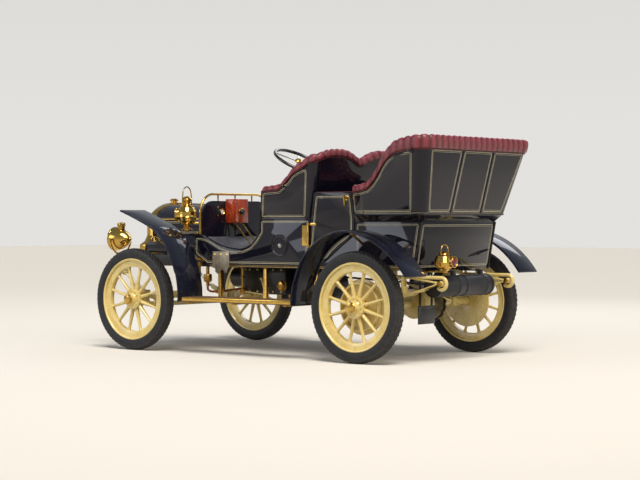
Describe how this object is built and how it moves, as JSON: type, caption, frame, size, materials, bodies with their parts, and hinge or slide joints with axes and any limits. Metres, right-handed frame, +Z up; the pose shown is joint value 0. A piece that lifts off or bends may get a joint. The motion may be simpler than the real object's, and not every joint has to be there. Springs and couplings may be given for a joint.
{
  "type": "brass era touring car",
  "caption": "Open touring car with wooden spoked wheels, tufted leather seats, brass lamps, side doors, steering gear and hinged hood flaps.",
  "frame": {"origin": "on the ground, midway between the axles and between the car's ends", "axes": "+X forward, +Y to the car's left, +Z up"},
  "size_m": [3.3792, 1.648, 1.6021],
  "materials": {
    "body_paint": "gloss",
    "fender_paint": "gloss",
    "chassis_paint": "satin",
    "muffler_black": "matt",
    "cream_paint": "gloss",
    "brass": "polished",
    "tyre": "matt",
    "leather": "buffed",
    "board": "varnished",
    "coil_wood": "varnished",
    "black_rim": "gloss"
  },
  "bodies": {
    "chassis": {"coil_box": "coil_wood", "dash": "body_paint", "dash_rail": "brass", "door_hinges": "brass", "engine": "chassis_paint", "fender_stays": "brass", "floor": "board", "frame_cross_members": "chassis_paint", "frame_rails": "chassis_paint", "front_axle": "cream_paint", "front_fenders": "fender_paint", "front_seat_backrest": "leather", "front_seat_cushion": "leather", "front_seat_shell": "body_paint", "front_springs": "cream_paint", "fuel_tank": "chassis_paint", "headlamps": "brass", "hood": "body_paint", "lower_body": "body_paint", "muffler": "muffler_black", "number_plate": "chassis_paint", "radiator_core": "muffler_black", "radiator_shell": "brass", "rear_axle": "cream_paint", "rear_fenders": "fender_paint", "rear_springs": "cream_paint", "running_boards": "board", "seat_boxes": "body_paint", "side_lamps": "brass", "steering_column": "chassis_paint", "tail_lamp": "brass", "tonneau_backrest": "leather", "tonneau_cove": "body_paint", "tonneau_cushion": "leather", "tonneau_shell": "body_paint", "transmission": "chassis_paint"},
    "knuckle_left": {"knuckle_left": "cream_paint"},
    "knuckle_right": {"knuckle_right": "cream_paint"},
    "wheel_front_left": {"wheel_front_left": "cream_paint", "tyre_front_left": "tyre"},
    "wheel_front_right": {"wheel_front_right": "cream_paint", "tyre_front_right": "tyre"},
    "wheel_rear_left": {"wheel_rear_left": "cream_paint", "tyre_rear_left": "tyre"},
    "wheel_rear_right": {"wheel_rear_right": "cream_paint", "tyre_rear_right": "tyre"},
    "tie_rod": {"tie_rod": "cream_paint"},
    "drag_link": {"drag_link": "cream_paint"},
    "pitman_arm": {"pitman_arm": "cream_paint"},
    "steering_wheel": {"steering_wheel": "black_rim"},
    "door_left": {"door_left": "body_paint"},
    "door_right": {"door_right": "body_paint"},
    "hood_flap_left": {"hood_flap_left": "body_paint"},
    "hood_flap_right": {"hood_flap_right": "body_paint"}
  },
  "joints": [
    {"name": "steer_left", "type": "hinge", "parent": "chassis", "child": "knuckle_left", "pos_m": [1.1, 0.62, 0.396], "axis": [0, 0, 1], "range_deg": [-25, 25]},
    {"name": "steer_right", "type": "hinge", "parent": "chassis", "child": "knuckle_right", "pos_m": [1.1, -0.62, 0.396], "axis": [0, 0, 1], "range_deg": [-25, 25]},
    {"name": "roll_front_left", "type": "hinge", "parent": "knuckle_left", "child": "wheel_front_left", "pos_m": [1.1, 0.711, 0.396], "axis": [0, 1, 0], "continuous": true},
    {"name": "roll_front_right", "type": "hinge", "parent": "knuckle_right", "child": "wheel_front_right", "pos_m": [1.1, -0.711, 0.396], "axis": [0, 1, 0], "continuous": true},
    {"name": "roll_rear_left", "type": "hinge", "parent": "chassis", "child": "wheel_rear_left", "pos_m": [-1.1, 0.711, 0.396], "axis": [0, 1, 0], "continuous": true},
    {"name": "roll_rear_right", "type": "hinge", "parent": "chassis", "child": "wheel_rear_right", "pos_m": [-1.1, -0.711, 0.396], "axis": [0, 1, 0], "continuous": true},
    {"name": "tie_rod_pin", "type": "hinge", "parent": "knuckle_left", "child": "tie_rod", "pos_m": [0.97, 0.62, 0.3577], "axis": [0, 0, 1], "range_deg": [-25, 25]},
    {"name": "drag_link_slide", "type": "slide", "parent": "chassis", "child": "drag_link", "axis": [1, 0, 0], "range_m": [-0.07, 0.07]},
    {"name": "pitman_swing", "type": "hinge", "parent": "chassis", "child": "pitman_arm", "pos_m": [0.65, -0.45, 0.5803], "axis": [0, 1, 0], "range_deg": [-26, 26]},
    {"name": "steering_turn", "type": "hinge", "parent": "chassis", "child": "steering_wheel", "pos_m": [0.28, -0.3, 1.475], "axis": [-0.4742, 0, 0.8804], "range_deg": [-130, 130]},
    {"name": "door_left_hinge", "type": "hinge", "parent": "chassis", "child": "door_left", "pos_m": [-0.457, 0.471, 0.895], "axis": [0, 0, -1], "range_deg": [0, 75]},
    {"name": "door_right_hinge", "type": "hinge", "parent": "chassis", "child": "door_right", "pos_m": [-0.457, -0.471, 0.895], "axis": [0, 0, 1], "range_deg": [0, 75]},
    {"name": "hood_flap_left_hinge", "type": "hinge", "parent": "chassis", "child": "hood_flap_left", "pos_m": [1, 0.271, 1.018], "axis": [1, 0, 0], "range_deg": [0, 95]},
    {"name": "hood_flap_right_hinge", "type": "hinge", "parent": "chassis", "child": "hood_flap_right", "pos_m": [1, -0.271, 1.018], "axis": [-1, 0, 0], "range_deg": [0, 95]}
  ],
  "couplings": [
    {"joint": "steer_right", "follows": "steer_left", "ratio": 1},
    {"joint": "tie_rod_pin", "follows": "steer_left", "ratio": -1},
    {"joint": "drag_link_slide", "follows": "steer_left", "m_per_rad": -0.15},
    {"joint": "pitman_swing", "follows": "steer_left", "ratio": 1},
    {"joint": "steering_turn", "follows": "steer_left", "ratio": 5}
  ]
}
